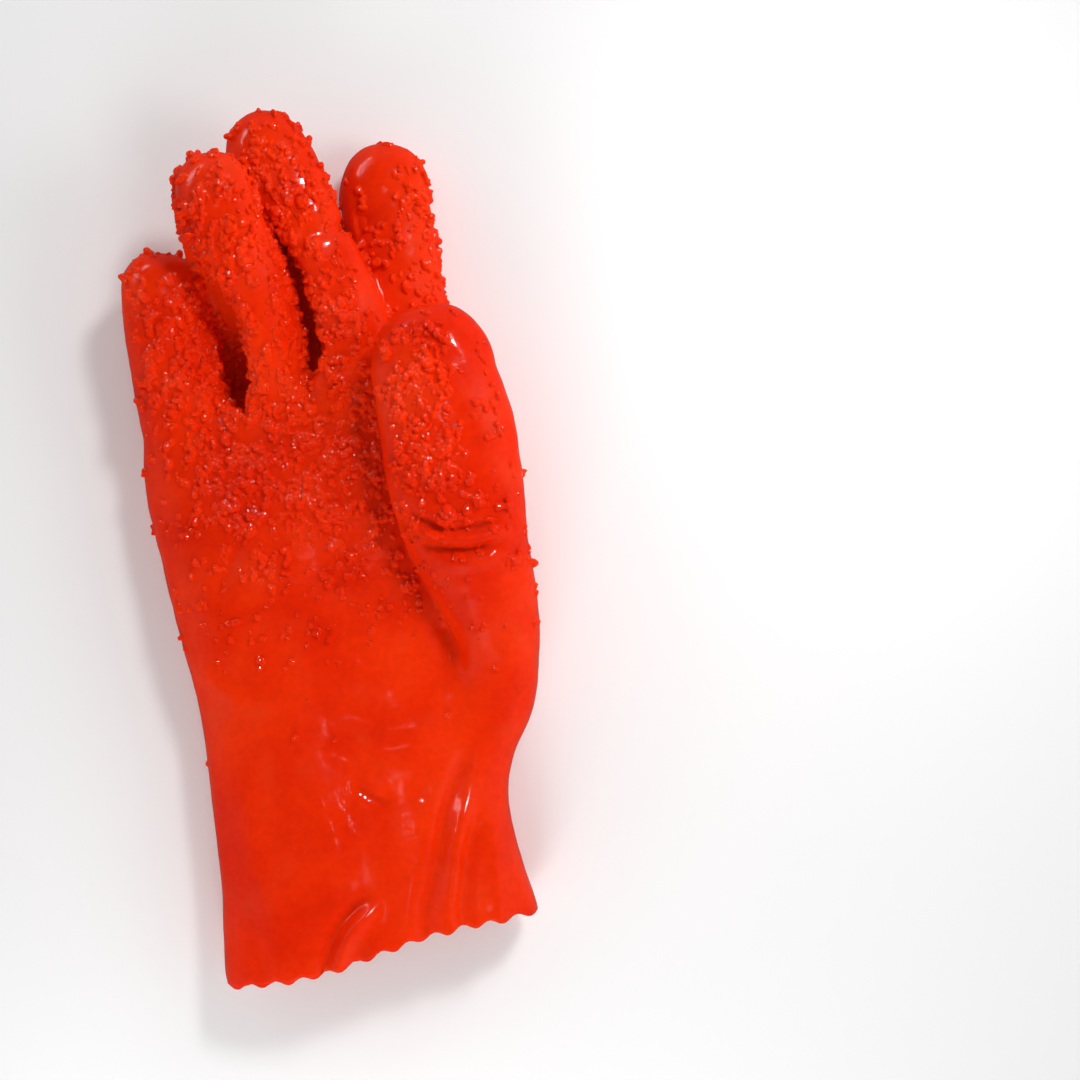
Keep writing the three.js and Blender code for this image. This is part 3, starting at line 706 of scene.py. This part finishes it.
# ---------------------------------------------------------------- material
def pvc_material(name, bump=1.0, tone=(1.0, 1.0), fine=520, facet=0.0, shine=0.26):
    m = bpy.data.materials.new(name)
    m.use_nodes = True
    nt = m.node_tree
    nt.nodes.clear()
    N = nt.nodes.new
    L = nt.links.new
    out = N("ShaderNodeOutputMaterial")
    b = N("ShaderNodeBsdfPrincipled")
    L(b.outputs[0], out.inputs[0])
    tc = N("ShaderNodeTexCoord")
    # slow shifts of tint, as in thick and thin dips
    n1 = N("ShaderNodeTexNoise"); n1.inputs["Scale"].default_value = 28; n1.inputs["Detail"].default_value = 3; n1.inputs["Roughness"].default_value = 0.55
    L(tc.outputs["Object"], n1.inputs["Vector"])
    ramp = N("ShaderNodeValToRGB")
    ramp.color_ramp.elements[0].position = 0.36; ramp.color_ramp.elements[0].color = (tone[0] * 0.76, tone[1] * 0.0172, 0.0008, 1)
    ramp.color_ramp.elements[1].position = 0.64; ramp.color_ramp.elements[1].color = (tone[0] * 0.89, tone[1] * 0.0310, 0.0014, 1)
    mid = ramp.color_ramp.elements.new(0.5); mid.color = (tone[0] * 0.84, tone[1] * 0.0240, 0.0010, 1)
    L(n1.outputs["Fac"], ramp.inputs["Fac"])
    # fine specks in the plastic
    n2 = N("ShaderNodeTexNoise"); n2.inputs["Scale"].default_value = 420; n2.inputs["Detail"].default_value = 3
    L(tc.outputs["Object"], n2.inputs["Vector"])
    mx = N("ShaderNodeMix"); mx.data_type = "RGBA"; mx.blend_type = "MULTIPLY"
    r2 = N("ShaderNodeValToRGB")
    r2.color_ramp.elements[0].position = 0.35; r2.color_ramp.elements[0].color = (0.86, 0.80, 0.78, 1)
    r2.color_ramp.elements[1].position = 0.62; r2.color_ramp.elements[1].color = (1, 1, 1, 1)
    L(n2.outputs["Fac"], r2.inputs["Fac"])
    mx.inputs["Factor"].default_value = 0.5
    L(ramp.outputs["Color"], mx.inputs["A"]); L(r2.outputs["Color"], mx.inputs["B"])
    n7 = N("ShaderNodeTexNoise"); n7.inputs["Scale"].default_value = 62; n7.inputs["Detail"].default_value = 3; n7.inputs["Roughness"].default_value = 0.6
    L(tc.outputs["Object"], n7.inputs["Vector"])
    r7 = N("ShaderNodeMapRange"); r7.inputs["From Min"].default_value = 0.54; r7.inputs["From Max"].default_value = 0.74
    r7.inputs["To Min"].default_value = 0.0; r7.inputs["To Max"].default_value = 0.30
    L(n7.outputs["Fac"], r7.inputs["Value"])
    m7 = N("ShaderNodeMix"); m7.data_type = "RGBA"
    m7.inputs["B"].default_value = (0.80, 0.050, 0.010, 1)
    L(r7.outputs["Result"], m7.inputs["Factor"]); L(mx.outputs["Result"], m7.inputs["A"])
    L(m7.outputs["Result"], b.inputs["Base Color"])
    # gloss that changes from place to place
    n3 = N("ShaderNodeTexNoise"); n3.inputs["Scale"].default_value = 60; n3.inputs["Detail"].default_value = 3
    L(tc.outputs["Object"], n3.inputs["Vector"])
    mr = N("ShaderNodeMapRange"); mr.inputs["From Min"].default_value = 0.3; mr.inputs["From Max"].default_value = 0.7
    mr.inputs["To Min"].default_value = 0.10; mr.inputs["To Max"].default_value = 0.19
    L(n3.outputs["Fac"], mr.inputs["Value"]); L(mr.outputs["Result"], b.inputs["Roughness"])
    # skin relief: orange peel, tiny pits and slack
    n4 = N("ShaderNodeTexNoise"); n4.inputs["Scale"].default_value = fine; n4.inputs["Detail"].default_value = 2
    n5 = N("ShaderNodeTexNoise"); n5.inputs["Scale"].default_value = 150; n5.inputs["Detail"].default_value = 3
    v6 = N("ShaderNodeTexVoronoi"); v6.inputs["Scale"].default_value = 330; v6.feature = "F1"
    for t in (n4, n5, v6):
        L(tc.outputs["Object"], t.inputs["Vector"])
    a1 = N("ShaderNodeMath"); a1.operation = "MULTIPLY"; a1.inputs[1].default_value = 0.5
    a2 = N("ShaderNodeMath"); a2.operation = "ADD"
    a3 = N("ShaderNodeMath"); a3.operation = "MULTIPLY"; a3.inputs[1].default_value = 1.4
    a4 = N("ShaderNodeMath"); a4.operation = "ADD"
    a5 = N("ShaderNodeMath"); a5.operation = "MULTIPLY"; a5.inputs[1].default_value = 0.35
    L(n4.outputs["Fac"], a1.inputs[0]); L(n5.outputs["Fac"], a3.inputs[0]); L(v6.outputs["Distance"], a5.inputs[0])
    L(a1.outputs[0], a2.inputs[0]); L(a3.outputs[0], a2.inputs[1])
    L(a2.outputs[0], a4.inputs[0])
    if not facet:
        L(a5.outputs[0], a4.inputs[1])
    bp = N("ShaderNodeBump"); bp.inputs["Strength"].default_value = 0.20 * bump; bp.inputs["Distance"].default_value = 0.0005
    L(a4.outputs[0], bp.inputs["Height"]); L(bp.outputs["Normal"], b.inputs["Normal"])
    if facet:                                                        # crumbs break into little flat faces that catch the light
        ge = N("ShaderNodeNewGeometry")
        f1 = N("ShaderNodeMix"); f1.data_type = "VECTOR"; f1.inputs["Factor"].default_value = facet
        f2 = N("ShaderNodeVectorMath"); f2.operation = "NORMALIZE"
        L(ge.outputs["Normal"], f1.inputs["A"]); L(ge.outputs["True Normal"], f1.inputs["B"])
        L(f1.outputs["Result"], f2.inputs[0]); L(f2.outputs[0], bp.inputs["Normal"])
    b.inputs["IOR"].default_value = 1.50
    b.inputs["Specular IOR Level"].default_value = shine
    b.inputs["Subsurface Weight"].default_value = 0.07
    b.inputs["Subsurface Radius"].default_value = (1.0, 0.12, 0.04)
    b.inputs["Subsurface Scale"].default_value = 0.003
    return m


skin_mat = pvc_material("pvc_orange_skin")
# painted light: the crumbs' colour is painted a little lighter and more orange than the skin's, standing in for the
# light their tops catch
grit_mat = pvc_material("pvc_orange_grit", bump=0.5, tone=(1.03, 1.12), fine=900, facet=0.85, shine=0.26)

shell, ov, oq, outer = build_shell(skin_mat)
print("SHELL", sum(len(p.vertices) - 2 for p in shell.data.polygons), "triangles")
pieces = [shell] + build_grit(ov, oq, grit_mat)
for ob in pieces:
    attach(ob, "root")
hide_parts("glove_shell")

# ---------------------------------------------------------------- floor, light, camera
fl = bpy.data.meshes.new("floor")
fl.from_pydata([(-3, -3, 0), (3, -3, 0), (3, 3, 0), (-3, 3, 0)], [], [(0, 1, 2, 3)])
floor = bpy.data.objects.new("floor", fl)
bpy.context.scene.collection.objects.link(floor)
fm = bpy.data.materials.new("floor_pale"); fm.use_nodes = True
fb = fm.node_tree.nodes["Principled BSDF"]
fb.inputs["Base Color"].default_value = (0.95, 0.95, 0.95, 1)
fb.inputs["Roughness"].default_value = 0.9
fb.inputs["Specular IOR Level"].default_value = 0.1
fp = fm.node_tree.nodes.new("ShaderNodeLightPath")    # the glove's gloss sees a dimmer floor
fx = fm.node_tree.nodes.new("ShaderNodeMix"); fx.data_type = "RGBA"
fx.inputs["A"].default_value = (0.95, 0.95, 0.95, 1); fx.inputs["B"].default_value = (0.16, 0.16, 0.16, 1)
fm.node_tree.links.new(fp.outputs["Is Glossy Ray"], fx.inputs["Factor"])
fm.node_tree.links.new(fx.outputs["Result"], fb.inputs["Base Color"])
fl.materials.append(fm)
floor.location.z = -0.0002

scene = bpy.context.scene
world = bpy.data.worlds.new("studio"); scene.world = world
world.use_nodes = True
wn = world.node_tree
bg = wn.nodes["Background"]
bg.inputs[0].default_value = (1, 1, 1, 1)
wc = wn.nodes.new("ShaderNodeTexCoord")
wx = wn.nodes.new("ShaderNodeSeparateXYZ")
wr = wn.nodes.new("ShaderNodeMapRange")           # dim overhead, brighter low down, as in a room
wr.interpolation_type = "SMOOTHSTEP"
wr.inputs["From Min"].default_value = 0.15; wr.inputs["From Max"].default_value = 0.85
wr.inputs["To Min"].default_value = 1.22; wr.inputs["To Max"].default_value = 0.17
wn.links.new(wc.outputs["Generated"], wx.inputs[0])
wn.links.new(wx.outputs["Z"], wr.inputs["Value"])
wl = wn.nodes.new("ShaderNodeLightPath")          # reflections see a dimmer room than the surfaces are lit by
wd = wn.nodes.new("ShaderNodeMath"); wd.operation = "MULTIPLY_ADD"; wd.inputs[1].default_value = -0.86; wd.inputs[2].default_value = 1.0
wm = wn.nodes.new("ShaderNodeMath"); wm.operation = "MULTIPLY"
wn.links.new(wl.outputs["Is Glossy Ray"], wd.inputs[0])
wn.links.new(wr.outputs["Result"], wm.inputs[0]); wn.links.new(wd.outputs[0], wm.inputs[1])
wn.links.new(wm.outputs[0], bg.inputs[1])


def area(name, loc, target, size, power, size_y=None):
    ld = bpy.data.lights.new(name, "AREA")
    ld.energy = power
    ld.size = size
    if size_y:
        ld.shape = "RECTANGLE"; ld.size_y = size_y
    ob = bpy.data.objects.new(name, ld)
    scene.collection.objects.link(ob)
    ob.location = loc
    ob.rotation_euler = (Vector(target) - Vector(loc)).to_track_quat("-Z", "Y").to_euler()
    return ob


key = area("key", (0.60, 0.62, 1.00), (0.0, 0.0, 0.02), 0.22, 5.70)
key.visible_glossy = False                 # lights the form; the gleams come from the small ones
side = area("side", (0.22, 0.07, 0.20), (0.03, 0.03, 0.03), 0.12, 0.19)
side.visible_glossy = False
gleam = area("gleam", (0.56, 0.60, 1.00), (0.0, 0.0, 0.02), 0.07, 8.0)
gleam.visible_diffuse = False
overhead = area("overhead", (0.10, 0.00, 1.60), (0.0, 0.0, 0.02), 0.05, 0.14)
overhead.visible_diffuse = False
window = area("window", (-0.62, 0.95, 0.60), (0.03, 0.12, 0.02), 1.00, 3.8, 0.10)
window.visible_diffuse = False
top = area("top", (0.0, 0.04, 1.50), (0.0, 0.04, 0.02), 0.30, 0.70)
top.visible_glossy = False                 # reaches down between the fingers
fill = area("fill", (-0.10, -0.48, 0.24), (-0.03, -0.13, 0.02), 0.20, 0.95)
fill.visible_glossy = False                # lifts the cuff, leaves no gleam

cam_data = bpy.data.cameras.new("camera")
cam_data.sensor_fit = "HORIZONTAL"
cam_data.angle = 2 * math.atan(0.189 / 0.900)
cam_data.clip_start = 0.01
cam = bpy.data.objects.new("camera", cam_data)
scene.collection.objects.link(cam)
cam.location = ((73.9 + SHIFT[0]) * 0.001, (41.45 + SHIFT[1]) * 0.001, 0.900)
cam.rotation_euler = (0, 0, math.radians(-9))
scene.camera = cam
scene.view_settings.view_transform = "Standard"
